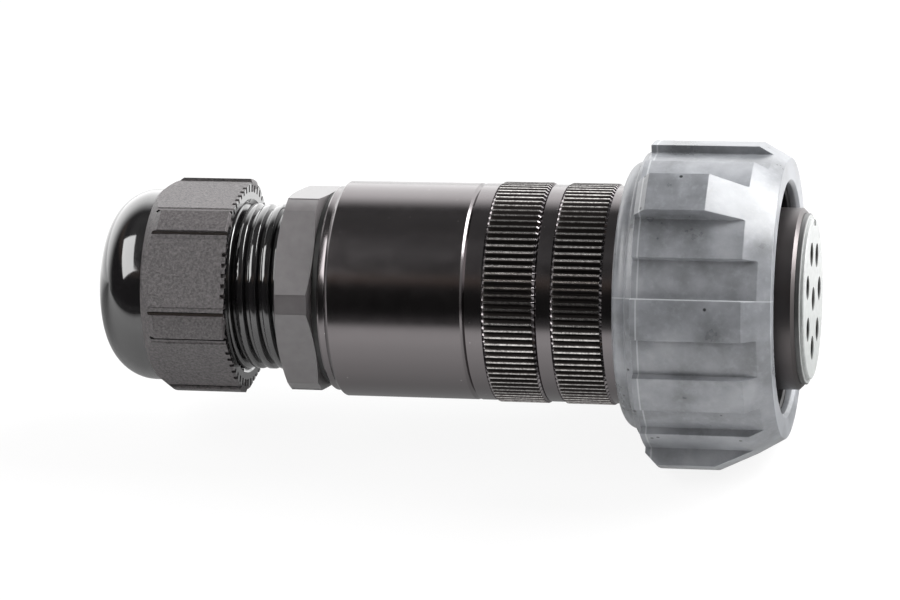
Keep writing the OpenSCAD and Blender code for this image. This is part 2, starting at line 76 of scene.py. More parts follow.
# Housing and backshell: a plain body with two knurls, each given by its two ends
R_BODY, R_KNURL, KNURL_DEPTH, KNURL_CHAMFER = 16.2, 16.45, 0.42, 0.36
TEETH, COLUMNS = 96, 5
BACK_KNURL, FRONT_KNURL = (-46.6, -38.75), (-36.4, -28.8)

# Cable gland: hexagon, clamping thread on the claws' barrel, and cap nut
HEX_REAR, HEX_FRONT, HEX_ANGLE, HEX_FLAT = -78.2, -72.5, 12.0, 14.5
R_THREAD, R_THREAD_ROOT, PITCH, THREAD_START, THREAD_TURNS = 12.5, 11.65, 2.0, -91.0, 8
CLAW_SLOTS = 12
NUT_FRONT, NUT_HEX_REAR, NUT_REAR, NUT_ANGLE = -85.7, -98.2, -106.8, 26.0
NUT_LANDS_FRONT, NUT_LANDS_REAR = -86.1, -95.9
NUT_FLAT, NUT_LAND, NUT_PANEL, PANEL_RISE, FOOT_GROOVE = 14.75, 16.2, 5.1, 0.16, 0.3
DOME_ARC, DOME_ARC_MIDDLE, R_NUT_BORE = 7.0, 7.6, 12.58
NOTCHES = 60

# Return spring, from end to end
SPRING_REAR, SPRING_FRONT, SPRING_TURNS, R_SPRING, R_WIRE = -24.65, -19.05, 3, 15.43, 0.45

# ---------------------------------------------------------------- modelling by hand


def only(obj):
    """Selects obj alone and makes it the active one."""
    bpy.ops.object.select_all(action="DESELECT")
    obj.select_set(True)
    bpy.context.view_layer.objects.active = obj
    return obj


def polar(point):
    """A point's x in mm, its radius in mm and its degrees round X."""
    radius = math.hypot(point.y, point.z) / MM
    return point.x / MM, radius, math.degrees(math.atan2(point.z, point.y)) % 360


def swung(radius, side, angle):
    """The y and z of a point at a radius, moved aside and turned round X."""
    turn = math.radians(angle)
    return radius * math.cos(turn) - side * math.sin(turn), radius * math.sin(turn) + side * math.cos(turn)


def pick(obj, kind, test):
    """Selects, in edit mode, the elements whose middle passes test(x, radius, degrees)."""
    mesh = bmesh.from_edit_mesh(obj.data)
    for group in (mesh.verts, mesh.edges, mesh.faces):
        for element in group:
            element.select_set(False)
    for element in getattr(mesh, kind):
        corners = [element] if kind == "verts" else element.verts
        middle = sum((corner.co for corner in corners), Vector()) / len(corners)
        if test(*polar(middle)):
            element.select_set(True)
    mesh.select_flush_mode()
    bmesh.update_edit_mesh(obj.data)


def closed_up():
    """Merges the seam and the poles of the mesh, points its faces outwards, and leaves edit mode."""
    bpy.ops.mesh.select_all(action="SELECT")
    bpy.ops.mesh.remove_doubles(threshold=0.002 * MM)
    bpy.ops.mesh.normals_make_consistent(inside=False)
    bpy.ops.object.mode_set(mode="OBJECT")


def outline(name, points):
    """A closed loop of edges through the points, started from a circle and left selected in edit mode."""
    bpy.ops.object.select_all(action="DESELECT")
    bpy.ops.mesh.primitive_circle_add(vertices=len(points), radius=MM, location=(0, 0, 0))
    obj = bpy.context.object
    obj.name = name
    for vertex, point in zip(obj.data.vertices, points):
        vertex.co = Vector(point) * MM
    bpy.ops.object.mode_set(mode="EDIT")
    bpy.ops.mesh.select_all(action="SELECT")
    return obj


def turned(name, profile, steps=192, start=0.0):
    """Spins a closed profile of (x, radius) points about the X axis, as a lathe does."""
    obj = outline(name, [(x, *swung(r, 0, start)) for x, r in profile])
    bpy.ops.mesh.spin(steps=steps, angle=2 * math.pi, center=(0, 0, 0), axis=(1, 0, 0))
    closed_up()
    return obj


def prism(name, section, x_low, x_high):
    """Fills a section given as (radius, degrees) points and extrudes it along X."""
    obj = outline(name, [(x_low, *swung(r, 0, angle)) for r, angle in section])
    bpy.ops.mesh.edge_face_add()
    bpy.ops.mesh.extrude_region_move(TRANSFORM_OT_translate={"value": ((x_high - x_low) * MM, 0, 0)})
    closed_up()
    return obj


def wound(name, section, start, pitch, turns, steps):
    """Winds a section of (x, radius) points about X, from start towards +X, and closes its ends."""
    obj = outline(name, [(start + x, r, 0) for x, r in section])
    bpy.ops.object.mode_set(mode="OBJECT")
    applied(obj, "SCREW", axis="X", angle=2 * math.pi, screw_offset=pitch * MM, iterations=turns,
            steps=steps, render_steps=steps)
    bpy.ops.object.mode_set(mode="EDIT")
    bpy.ops.mesh.select_all(action="SELECT")
    bpy.ops.mesh.fill_holes(sides=len(section))
    closed_up()
    return obj


def radial_box(x, radius, length, height, width, angle):
    """A box with its middle at an x and a radius, to cut with: length along X, height along the radius."""
    bpy.ops.object.select_all(action="DESELECT")
    bpy.ops.mesh.primitive_cube_add(size=1, location=(0, 0, 0))
    box = bpy.context.object
    for vertex in box.data.vertices:
        along, out, side = vertex.co
        vertex.co = Vector((x + length * along, *swung(radius + height * out, width * side, angle))) * MM
    return box


def applied(obj, kind, **settings):
    """Adds a modifier to obj and applies it."""
    only(obj)
    modifier = obj.modifiers.new(kind.lower(), kind)
    for name, value in settings.items():
        setattr(modifier, name, value)
    bpy.ops.object.modifier_apply(modifier=modifier.name)
    return obj


def combined(obj, operation, tool):
    """Cuts, joins or trims obj with a tool, which is used up."""
    applied(obj, "BOOLEAN", operation=operation, object=tool, solver="EXACT")
    bpy.data.objects.remove(tool)
    return obj


def joined(obj, *others):
    """Joins the others into obj."""
    only(obj)
    for other in others:
        other.select_set(True)
    bpy.ops.object.join()
    return obj


def smoothed(obj, angle):
    """Shades faces smooth across the edges where they meet at less than an angle."""
    only(obj)
    bpy.ops.object.shade_smooth_by_angle(angle=math.radians(angle), keep_sharp_edges=False)
    return obj


def flattened(obj):
    """Keeps the large faces looking flat beside their small round neighbours."""
    return applied(obj, "WEIGHTED_NORMAL", weight=100, keep_sharp=True)


def rounded(obj, width, segments=2, limit=30):
    """Breaks the sharp edges, as a mould or a tool leaves them, and shades the rest smooth."""
    applied(obj, "BEVEL", width=width * MM, segments=segments, limit_method="ANGLE",
            angle_limit=math.radians(limit), miter_outer="MITER_ARC", use_clamp_overlap=True)
    return flattened(smoothed(obj, 32))


def arc(x, r, radius, start, end, steps=8):
    """Points of an arc in a profile, round a middle at (x, r), at angles from +X towards +R."""
    angles = [math.radians(start + (end - start) * i / steps) for i in range(steps + 1)]
    return [(x + radius * math.cos(angle), r + radius * math.sin(angle)) for angle in angles]


def handed_over(obj, body, slot, material, *nodes):
    """Gives a finished piece its material and its place in the frame."""
    obj.data.materials.clear()
    obj.data.materials.append(material)
    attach(obj, body)
    if nodes:
        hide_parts(*nodes)
    return obj


def refinished(obj, material, test):
    """Gives a second material to the faces whose middle passes test(x, radius, degrees)."""
    obj.data.materials.append(material)
    for face in obj.data.polygons:
        if test(*polar(face.center)):
            face.material_index = 1


# ---------------------------------------------------------------- nodes


def linear(code):
    """A hex sRGB colour as linear RGBA."""
    parts = [int(code[i:i + 2], 16) / 255 for i in (1, 3, 5)]
    return (*[c / 12.92 if c <= 0.04045 else ((c + 0.055) / 1.055) ** 2.4 for c in parts], 1.0)


def grey(value):
    """A linear grey as RGBA."""
    return value, value, value, 1.0


def wire_up(node, inputs):
    """Sets a node's sockets, each by a value or by the output that feeds it."""
    for socket, value in inputs.items():
        if isinstance(value, bpy.types.NodeSocket):
            node.id_data.links.new(value, node.inputs[socket])
        else:
            node.inputs[socket].default_value = value


def add(tree, kind, inputs=None, stops=(), **settings):
    """Adds a shader node and returns its outputs.

    inputs are values or the outputs that feed its sockets, stops are a ramp's positions and colours in
    rising order, and settings are the node's own options.
    """
    made = tree.nodes.new("ShaderNode" + kind)
    for i, (position, colour) in enumerate(stops):
        ramp = made.color_ramp.elements
        stop = ramp[i] if i < 2 else ramp.new(position)
        stop.position, stop.color = position, colour
    for name, value in settings.items():
        setattr(made, name, value)
    wire_up(made, inputs or {})
    return made.outputs


def emptied(tree):
    """Takes the starting nodes out of a tree."""
    tree.nodes.clear()
    return tree


def sight(tree):
    """Two values: 1 for rays from gloss, and 1 for rays of the camera, straight or through glass."""
    rays = add(tree, "LightPath")
    seen = add(tree, "Math", {0: rays["Is Camera Ray"], 1: rays["Is Transmission Ray"]},
               operation="MAXIMUM")
    return rays["Is Glossy Ray"], seen[0]


# ---------------------------------------------------------------- stage, light and camera
scene = bpy.context.scene
scene.view_settings.view_transform = "Standard"

# Floor: white to the camera, but for a matte share that keeps the soft shadow. Gloss sees it white as well,
# but with a painted shadow close under the plug, and dimmer far in front of it
FLOOR_SIZE, FLOOR_GAP = 6, 0.0004
WHITE_TO_CAMERA, WHITE_IN_GLOSS = 0.88, 1.4

# What gloss sees from FLOOR_REACH metres in front of the plug, at 0, to as far behind it, at 1. The dip
# from 0.42 to 0.65, under the plug, is a painted shadow of it
FLOOR_REACH = 0.2
FLOOR_IN_GLOSS = [(at, grey(value)) for at, value in (
    (0.08, 0.07), (0.25, 1), (0.35, 1), (0.42, 0.75), (0.45, 0.57), (0.47, 0.38), (0.5, 0.22), (0.56, 0.22),
    (0.65, 1))]

bpy.ops.object.select_all(action="DESELECT")
bpy.ops.mesh.primitive_plane_add(size=FLOOR_SIZE, location=(0, 0, cad_low.z - FLOOR_GAP))
floor = bpy.context.object
floor.name = "studio_floor"
paper = bpy.data.materials.new("white_paper_sweep")
paper.use_nodes = True
tree = emptied(paper.node_tree)
glossy, seen = sight(tree)
direct = add(tree, "Math", {0: seen, 1: WHITE_TO_CAMERA}, operation="MULTIPLY")
share = add(tree, "Math", {0: direct[0], 1: glossy}, operation="MAXIMUM")
place = add(tree, "TexCoord")
axes = add(tree, "SeparateXYZ", {0: place["Object"]})
across = add(tree, "MapRange", {"Value": axes["Y"], "From Min": -FLOOR_REACH, "From Max": FLOOR_REACH})
# The ramp paints the plug's shadow into the floor that gloss sees
mirrored = add(tree, "ValToRGB", {"Fac": across[0]}, stops=FLOOR_IN_GLOSS)
level = add(tree, "Math", {0: mirrored["Color"], 1: WHITE_IN_GLOSS}, operation="MULTIPLY")
strength = add(tree, "Mix", {0: glossy, 2: 1.0, 3: level[0]}, data_type="FLOAT")
matte = add(tree, "BsdfDiffuse", {"Color": grey(0.86)})
white = add(tree, "Emission", {"Color": grey(1), "Strength": strength[0]})
mixed = add(tree, "MixShader", {0: share[0], 1: matte[0], 2: white[0]})
add(tree, "OutputMaterial", {"Surface": mixed[0]})
floor.data.materials.append(paper)

# Room: white to the camera. To gloss and as light it is a pale wall behind the plug and another beside
# its mating end, under a dim ceiling with a warm strip low down, and dark in front. The ceiling's greys
# go by height, from level at 0 to overhead at 1
CEILING = (
    (0.44, grey(0.03)), (0.5, grey(0.045)), (0.58, (0.2, 0.155, 0.125, 1)), (0.65, (0.22, 0.185, 0.165, 1)),
    (0.71, grey(0.085)), (0.8, grey(0.09)), (0.9, grey(0.2)), (1.0, grey(0.15)))
WALL_FADE, WALL_LIGHT = (-0.35, 0.3), 2.4
FLANK_LEAN, FLANK_FADE, FLANK_LIGHT = 0.6, (0.5, 1.0), 1.4

world = bpy.data.worlds.new("studio_room")
scene.world = world
world.use_nodes = True
tree = emptied(world.node_tree)
place = add(tree, "TexCoord")
axes = add(tree, "SeparateXYZ", {0: place["Generated"]})
behind = add(tree, "Math", {0: axes["Y"], 1: axes["Z"]}, operation="SUBTRACT")
beside = add(tree, "Math", {0: axes["Y"], 1: FLANK_LEAN, 2: axes["X"]}, operation="MULTIPLY_ADD")
wall, flank = (
    add(tree, "MapRange", {"Value": value[0], "From Min": fade[0], "From Max": fade[1], "To Max": light},
        interpolation_type="SMOOTHSTEP")
    for value, fade, light in ((behind, WALL_FADE, WALL_LIGHT), (beside, FLANK_FADE, FLANK_LIGHT)))
bright = add(tree, "Math", {0: wall[0], 1: flank[0]}, operation="MAXIMUM")
ceiling = add(tree, "ValToRGB", {"Fac": axes["Z"]}, stops=CEILING)
room = add(tree, "Mix", {0: 1.0, 6: ceiling["Color"], 7: bright[0]}, data_type="RGBA", blend_type="LIGHTEN")
lit = add(tree, "Background", {"Color": room[2], "Strength": 1.0})
plain = add(tree, "Background", {"Color": grey(1), "Strength": 1.0})
seen = sight(tree)[1]
mixed = add(tree, "MixShader", {0: seen, 1: lit[0], 2: plain[0]})
add(tree, "OutputWorld", {"Surface": mixed[0]})


def softbox(name, direction, side, distance, width, height, watts, aim):
    """A rectangular soft lamp in a direction from its aim, turned to it, with its width along side."""
    facing = Vector(direction).normalized()
    across = (Vector(side) - facing * facing.dot(Vector(side))).normalized()
    bpy.ops.object.light_add(type="AREA", location=Vector(aim) + facing * distance)
    lamp = bpy.context.object
    lamp.name = name
    lamp.data.shape = "RECTANGLE"
    lamp.data.size, lamp.data.size_y, lamp.data.energy = width, height, watts
    lamp.rotation_euler = Matrix((across, facing.cross(across), facing)).transposed().to_euler()


softbox("left_softbox", direction=(-0.563, -0.374, 0.738), side=(0.82, -0.19, 0.54),
        distance=0.62, width=0.30, height=0.50, watts=3.0, aim=(-0.100, 0, 0))
softbox("right_softbox", direction=(0.72, 0.30, 0.63), side=(0, 1, 0),
        distance=0.60, width=0.42, height=0.42, watts=7.5, aim=(-0.0547, 0, 0))

# Camera: a long lens above and in front of the plug, turned a little to its mating end and rolled
CAMERA_PLACE = Vector((67.7, -502.8, 265.7)) * MM
YAW, RISE, ROLL = math.radians(12.14), math.radians(28), math.radians(1.4)
LENS, SENSOR = 155.1, 36

bpy.ops.object.camera_add(location=CAMERA_PLACE)
camera = bpy.context.object
scene.camera = camera
camera.data.lens, camera.data.sensor_width = LENS, SENSOR
camera.data.clip_start, camera.data.clip_end = 0.05, 20
back = Vector((math.sin(YAW), -math.cos(YAW) * math.cos(RISE), math.cos(YAW) * math.sin(RISE)))
sideways = Vector((math.cos(YAW), math.sin(YAW) * math.cos(RISE), -math.sin(YAW) * math.sin(RISE)))
upright = back.cross(sideways)
right = math.cos(ROLL) * sideways + math.sin(ROLL) * upright
top = math.cos(ROLL) * upright - math.sin(ROLL) * sideways
camera.rotation_euler = Matrix((right, top, back)).transposed().to_euler()

# ---------------------------------------------------------------- materials
# Patterns lie on the object's coordinates in mm: what a noise or a cell draws at a Scale of s is about
# 1 / s mm wide.


def new_material(name):
    """A Principled material: returns it, its tree, its shader and the object's coordinates in mm."""
    made = bpy.data.materials.new(name)
    made.use_nodes = True
    tree = made.node_tree
    place = add(tree, "TexCoord")
    coords = add(tree, "Mapping", {"Vector": place["Object"], "Scale": (1 / MM, 1 / MM, 1 / MM)})
    return made, tree, tree.nodes["Principled BSDF"], coords[0]


def from_axis(tree, mm):
    """Two values: the x coordinate and the distance from the X axis, in mm."""
    axes = add(tree, "SeparateXYZ", {0: mm})
    cross = add(tree, "CombineXYZ", {"Y": axes["Y"], "Z": axes["Z"]})
    return axes["X"], add(tree, "VectorMath", {0: cross[0]}, operation="LENGTH")["Value"]


# Grey nylon, injection moulded: a semi-gloss skin with smudges about 8 mm wide, a paler bloom, dark pits
# half a millimetre wide, and the pale witness and parting lines of the mould
grip_nylon, tree, shader, mm = new_material("moulded_grey_nylon")
cloud = add(tree, "TexNoise", {"Vector": mm, "Scale": 0.13, "Detail": 5, "Roughness": 0.55})
blotch = add(tree, "ValToRGB", {"Fac": cloud["Fac"]},
             stops=((0.34, linear("#5e6063")), (0.5, linear("#75777b")), (0.66, linear("#87898d"))))
fine = add(tree, "TexNoise", {"Vector": mm, "Scale": 0.9, "Detail": 4, "Roughness": 0.65})
bloom = add(tree, "ValToRGB", {"Fac": fine["Fac"]}, stops=((0.5, grey(0)), (0.78, grey(0.35))))
pale = add(tree, "Mix", {0: bloom["Color"], 6: blotch["Color"], 7: linear("#94989b")}, data_type="RGBA")
seam = math.radians(PARTING_ANGLE)
off = add(tree, "VectorMath", {0: mm, 1: (0, math.sin(seam), -math.cos(seam))}, operation="DOT_PRODUCT")
parting = add(tree, "Math", {0: off["Value"], 1: 0.0, 2: 0.09}, operation="COMPARE")
axes = add(tree, "SeparateXYZ", {0: mm})
witness = add(tree, "Math", {0: axes["X"], 1: WITNESS_X, 2: 0.12}, operation="COMPARE")
lines = add(tree, "Math", {0: witness[0], 1: parting[0]}, operation="MAXIMUM")
faint = add(tree, "Math", {0: lines[0], 1: 0.32}, operation="MULTIPLY")
lined = add(tree, "Mix", {0: faint[0], 6: pale[2], 7: linear("#c3c6c8")}, data_type="RGBA")
cells = add(tree, "TexVoronoi", {"Vector": mm, "Scale": 0.27, "Randomness": 1.0}, feature="F1")
pits = add(tree, "ValToRGB", {"Fac": cells["Distance"]}, stops=((0.055, grey(1)), (0.085, grey(0))))
dotted = add(tree, "Mix", {0: pits["Color"], 6: lined[2], 7: linear("#242628")}, data_type="RGBA")
skin = add(tree, "Bump", {"Height": fine["Fac"], "Strength": 0.15, "Distance": 0.05 * MM})
rough = add(tree, "MapRange", {"Value": cloud["Fac"], "From Min": 0.3, "From Max": 0.7,
                               "To Min": 0.26, "To Max": 0.38})
wire_up(shader, {"Base Color": dotted[2], "Roughness": rough[0], "Normal": skin[0], "IOR": 1.53})

# Aluminium, turned and black anodised: a deep satin black that mirrors softly, with lathe rings 0.13 mm
# apart and specks of dust
black_anodised, tree, shader, mm = new_material("black_anodised_aluminium")
rings = add(tree, "TexWave", {"Vector": mm, "Scale": 2.4, "Distortion": 0.4, "Detail": 1.0},
            wave_type="BANDS", bands_direction="X")
lathe = add(tree, "Bump", {"Height": rings["Fac"], "Strength": 0.06, "Distance": 0.01 * MM})
dust = add(tree, "TexVoronoi", {"Vector": mm, "Scale": 0.55}, feature="F1")
specks = add(tree, "ValToRGB", {"Fac": dust["Distance"]}, stops=((0.035, grey(1)), (0.05, grey(0))))
tint = add(tree, "Mix", {0: specks["Color"], 6: linear("#6c6869"), 7: linear("#b4b1b0")}, data_type="RGBA")
haze = add(tree, "TexNoise", {"Vector": mm, "Scale": 0.5, "Detail": 3})
satin = add(tree, "MapRange", {"Value": haze["Fac"], "To Min": 0.14, "To Max": 0.24})
wire_up(shader, {"Base Color": tint[2], "Metallic": 1.0, "Roughness": satin[0], "Normal": lathe[0]})

# Aluminium, blasted and black anodised, on the mating barrel: the same black with a broad dull sheen
blasted_anodised, tree, shader, mm = new_material("blasted_black_anodised_aluminium")
peened = add(tree, "TexNoise", {"Vector": mm, "Scale": 2.5, "Detail": 3})
dents = add(tree, "Bump", {"Height": peened["Fac"], "Strength": 0.15, "Distance": 0.03 * MM})
sheen = add(tree, "MapRange", {"Value": peened["Fac"], "To Min": 0.3, "To Max": 0.42})
wire_up(shader, {"Base Color": linear("#5c5858"), "Metallic": 1.0, "Roughness": sheen[0],
                 "Normal": dents[0]})

# Aluminium, knurled, black anodised and worn: dull in the grooves, rubbed bright along the crests, with
# chips under half a millimetre
worn_anodised, tree, shader, mm = new_material("worn_knurled_anodised_aluminium")
radius = from_axis(tree, mm)[1]
crest = add(tree, "MapRange", {"Value": radius, "From Min": R_KNURL - 0.15, "From Max": R_KNURL - 0.01})
chips = add(tree, "TexNoise", {"Vector": mm, "Scale": 2.4, "Detail": 6, "Roughness": 0.8})
patchy = add(tree, "MapRange", {"Value": chips["Fac"], "From Min": 0.3, "From Max": 0.6,
                                "To Min": 0.5, "To Max": 1.0})
rubbed = add(tree, "Math", {0: crest[0], 1: patchy[0]}, operation="MULTIPLY")
tint = add(tree, "ValToRGB", {"Fac": rubbed[0]},
           stops=((0.0, linear("#2b2827")), (0.55, linear("#5d5857")), (1.0, linear("#dcd9d6"))))
dull = add(tree, "MapRange", {"Value": crest[0], "To Min": 0.5, "To Max": 0.25})
scuff = add(tree, "Bump", {"Height": chips["Fac"], "Strength": 0.35, "Distance": 0.05 * MM})
wire_up(shader, {"Base Color": tint["Color"], "Metallic": 1.0, "Roughness": dull[0], "Normal": scuff[0]})

# Nylon, glass filled, from a spark eroded mould: a dark even matte. Its pebbles are drawn 0.4 mm wide,
# coarser than real ones, so that they show
eroded_nylon, tree, shader, mm = new_material("spark_eroded_black_nylon")
pebble = add(tree, "TexNoise", {"Vector": mm, "Scale": 2.6, "Detail": 4, "Roughness": 0.7})
tone = add(tree, "ValToRGB", {"Fac": pebble["Fac"]},
           stops=((0.34, linear("#2f2c2d")), (0.66, linear("#5e5a5b"))))
grain = add(tree, "Bump", {"Height": pebble["Fac"], "Strength": 0.8, "Distance": 0.1 * MM})
wire_up(shader, {"Base Color": tone["Color"], "Roughness": 0.45, "Normal": grain[0], "IOR": 1.53})

# Nylon, moulded, on the gland's hexagon: a plain satin skin without pebbles, which mirrors lamps broadly
satin_nylon, tree, shader, mm = new_material("moulded_satin_black_nylon")
marks = add(tree, "TexNoise", {"Vector": mm, "Scale": 0.7, "Detail": 3})
tone = add(tree, "ValToRGB", {"Fac": marks["Fac"]},
           stops=((0.3, linear("#545152")), (0.7, linear("#5d5a5b"))))
wire_up(shader, {"Base Color": tone["Color"], "Roughness": 0.34, "IOR": 1.53, "Coat Weight": 0.6,
                 "Coat Roughness": 0.3})

# Nylon, moulded against polished steel: a deep black gloss that is slightly wavy
polished_nylon, tree, shader, mm = new_material("mould_polished_black_nylon")
waves = add(tree, "TexNoise", {"Vector": mm, "Scale": 0.35, "Detail": 2})
soft = add(tree, "Bump", {"Height": waves["Fac"], "Strength": 0.08, "Distance": 0.1 * MM})
wire_up(shader, {"Base Color": linear("#151415"), "Roughness": 0.09, "Normal": soft[0], "IOR": 1.53,
                 "Coat Weight": 1.0, "Coat Roughness": 0.06})

# Thermoset insulator, moulded, grey: a satin face with a faint flow pattern, darker round its flange's
# side, and painted shade down its holes, which lie within 10.2 mm of the axis
insulator, tree, shader, mm = new_material("moulded_grey_insulator")
flow = add(tree, "TexNoise", {"Vector": mm, "Scale": 0.9, "Detail": 4})
tone = add(tree, "ValToRGB", {"Fac": flow["Fac"]},
           stops=((0.3, linear("#8a8c8b")), (0.7, linear("#9a9c9b"))))
x, radius = from_axis(tree, mm)
# Painted shade down the holes, from 0.05 mm under the face to full at 0.3 mm
within = add(tree, "Math", {0: radius, 1: 10.2}, operation="LESS_THAN")
sunk = add(tree, "MapRange", {"Value": x, "From Min": -0.05, "From Max": -0.3})
hole_shade = add(tree, "Math", {0: within[0], 1: sunk[0]}, operation="MULTIPLY")
edge = add(tree, "MapRange", {"Value": radius, "From Min": 12.35, "From Max": 12.5, "To Max": 0.85})
hole_shade_and_dark_side = add(tree, "Math", {0: hole_shade[0], 1: edge[0]}, operation="MAXIMUM")
shade = add(tree, "Mix", {0: hole_shade_and_dark_side[0], 6: tone["Color"], 7: linear("#161616")}, data_type="RGBA")
wire_up(shader, {"Base Color": shade[2], "Roughness": 0.4, "IOR": 1.55})

# Brass, turned and gold plated, on the contacts: a warm bright metal with lathe rings 0.1 mm apart
gold_plate, tree, shader, mm = new_material("gold_plated_brass")
rings = add(tree, "TexWave", {"Vector": mm, "Scale": 3.0, "Distortion": 0.3},
            wave_type="BANDS", bands_direction="X")
cut = add(tree, "Bump", {"Height": rings["Fac"], "Strength": 0.08, "Distance": 0.01 * MM})
wire_up(shader, {"Base Color": linear("#d9a94c"), "Metallic": 1.0, "Roughness": 0.25, "Normal": cut[0]})

# Nitrile rubber, moulded: matte black with a dusty bloom
rubber, tree, shader, mm = new_material("moulded_nitrile_rubber")
bloomed = add(tree, "TexNoise", {"Vector": mm, "Scale": 0.8, "Detail": 5})
tone = add(tree, "ValToRGB", {"Fac": bloomed["Fac"]},
           stops=((0.35, linear("#121212")), (0.7, linear("#262626"))))
wire_up(shader, {"Base Color": tone["Color"], "Roughness": 0.6, "IOR": 1.52})

# Steel, drawn to spring wire or stamped to rings: a bright metal with uneven polish
spring_steel, tree, shader, mm = new_material("drawn_spring_steel")
drawn = add(tree, "TexNoise", {"Vector": mm, "Scale": 2.5, "Detail": 3})
streak = add(tree, "MapRange", {"Value": drawn["Fac"], "To Min": 0.2, "To Max": 0.4})
wire_up(shader, {"Base Color": linear("#b9bcc0"), "Metallic": 1.0, "Roughness": streak[0]})

# Brass, black passivated, on the liner and the collet: a dull near-black metal
passivated, tree, shader, mm = new_material("black_passivated_brass")
stain = add(tree, "TexNoise", {"Vector": mm, "Scale": 0.7, "Detail": 4})
tone = add(tree, "ValToRGB", {"Fac": stain["Fac"]},
           stops=((0.3, linear("#1b1b1c")), (0.7, linear("#323133"))))
wire_up(shader, {"Base Color": tone["Color"], "Metallic": 0.6, "Roughness": 0.42})

# Acetal, turned, black, on the slip ring: waxy and dark
acetal, tree, shader, mm = new_material("turned_black_acetal")
wax = add(tree, "TexNoise", {"Vector": mm, "Scale": 1.2, "Detail": 3})
tone = add(tree, "ValToRGB", {"Fac": wax["Fac"]},
           stops=((0.3, linear("#1d1d1e")), (0.7, linear("#29292a"))))
wire_up(shader, {"Base Color": tone["Color"], "Roughness": 0.38, "IOR": 1.48})

# ---------------------------------------------------------------- coupling sleeve
# The lathe shape carries the low blocks. A tall block, its neighbours and the third block to each side of
# it are drawn out to the high radius, and the tall one further, and their front ends are pushed back to
# their taper.


def blocks_away(angle):
    """How many blocks an angle lies from the nearest tall block."""
    turn = (angle - TALL_ANGLE + TALL_PITCH / 2) % TALL_PITCH - TALL_PITCH / 2
    return abs(round(turn / BLOCK))


low_front = GRIP_RIM - (R_LOW - R_RIM) / HIGH_TAPER
high_front = GRIP_RIM - (R_HIGH - R_RIM) / HIGH_TAPER
tall_front = high_front - (R_TALL - R_HIGH) / TALL_TAPER
grip = turned("coupling_grip", [
    (SLEEVE_REAR, 16.85), *arc(SLEEVE_REAR + 2, 17.9, 2, 180, 90), (-24.9, 19.9), (-24.5, 21.2),
    (GRIP_REAR, 21.5), (GRIP_REAR, R_LOW), (low_front, R_LOW), (GRIP_RIM, R_RIM), (GRIP_RIM, 17.55),
    (-4.1, 17.05), (-5.0, 17.05), (-5.0, 18.65), (-18.6, 18.65), (-18.6, 16.85)],
    start=TALL_ANGLE - BLOCK / 2)
only(grip)
bpy.ops.object.mode_set(mode="EDIT")
for blocks, r_from, r_to, x_from, x_to in (((0, 1, 3), R_LOW, R_HIGH, low_front, high_front),
                                            ((0,), R_HIGH, R_TALL, high_front, tall_front)):
    bpy.ops.mesh.select_mode(type="FACE")
    pick(grip, "faces", lambda x, r, a: GRIP_REAR < x < x_from and r > r_from * 0.99
         and blocks_away(a) in blocks)
    bpy.ops.mesh.extrude_region_move()
    bpy.ops.transform.resize(value=(1, r_to / r_from, r_to / r_from), center_override=(0, 0, 0))
    bpy.ops.mesh.select_mode(type="VERT")
    pick(grip, "verts", lambda x, r, a: abs(x - x_from) < 0.01 and abs(r - r_to) < 0.05)
    bpy.ops.transform.translate(value=((x_to - x_from) * MM, 0, 0))
bpy.ops.mesh.select_mode(type="EDGE")
pick(grip, "edges", lambda x, r, a: abs(x - GRIP_REAR) < 0.01 and abs(r - R_TALL) < 0.02)
bpy.ops.mesh.bevel(offset=TALL_REAR_CORNER * MM, segments=1, affect="EDGES")
closed_up()
rounded(grip, 0.22, segments=3, limit=24)
handed_over(grip, "coupling_sleeve", "sleeve_plastic", grip_nylon, "coupling_sleeve")

# ---------------------------------------------------------------- housing and backshell


def knurl_stations(x_low, x_high, parts=8):
    """Profile stations of a knurl with its end chamfers, from the low end to the high end."""
    low, high = x_low + KNURL_CHAMFER, x_high - KNURL_CHAMFER
    crests = [(low + (high - low) * i / parts, R_KNURL) for i in range(parts + 1)]
    return [(x_low, R_KNURL - KNURL_CHAMFER), *crests, (x_high, R_KNURL - KNURL_CHAMFER)]


def sink_grooves(obj, x_low, x_high):
    """Sinks the V grooves of a knurl: of a tooth's columns, 0 and 1 stay as its crest and 3 is deepest."""
    flank_depth = KNURL_DEPTH * 0.62
    only(obj)
    bpy.ops.object.mode_set(mode="EDIT")
    bpy.ops.mesh.select_mode(type="VERT")
    for columns, depth in (((2, 4), flank_depth), ((3,), KNURL_DEPTH)):
        for ring in (R_KNURL, R_KNURL - KNURL_CHAMFER):
            scale = min(1, (R_KNURL - depth) / ring)
            pick(obj, "verts", lambda x, r, a: x_low - 0.01 < x < x_high + 0.01 and abs(r - ring) < 0.02
                 and round(a / 360 * TEETH * COLUMNS) % COLUMNS in columns)
            bpy.ops.transform.resize(value=(1, scale, scale), center_override=(0, 0, 0))
    bpy.ops.object.mode_set(mode="OBJECT")


def knurled_piece(name, profile, x_low, x_high, node):
    """A turned piece with a knurl between two x, which stands for a CAD node."""
    piece = turned(name, profile, steps=TEETH * COLUMNS)
    sink_grooves(piece, x_low, x_high)
    smoothed(piece, 24)
    handed_over(piece, "plug_body", "black_anodised", black_anodised, node)
    refinished(piece, worn_anodised, lambda x, r, a: x_low + KNURL_CHAMFER < x < x_high - KNURL_CHAMFER
               and r > R_BODY - 0.3)


knurled_piece("backshell_turned", [
    (-71.6, 12.55), (-71.6, 15.0), (-71.5, 15.25), (-71.25, 15.4), (-70.6, 15.4), (-70.4, 15.45),
    (-70.35, 15.6), (-69.8, 16.15), (-69.7, R_BODY),
    (-49.8, R_BODY), (-49.2, 15.72), (-49.1, 15.72), (-49.0, R_BODY), (BACK_KNURL[0] - 0.02, R_BODY),
    *knurl_stations(*BACK_KNURL),
    (-38.75, 14.05), (-45.2, 14.05), (-45.2, 13.4), (-62.9, 13.4), (-62.9, 12.55)],
    *BACK_KNURL, "backshell")

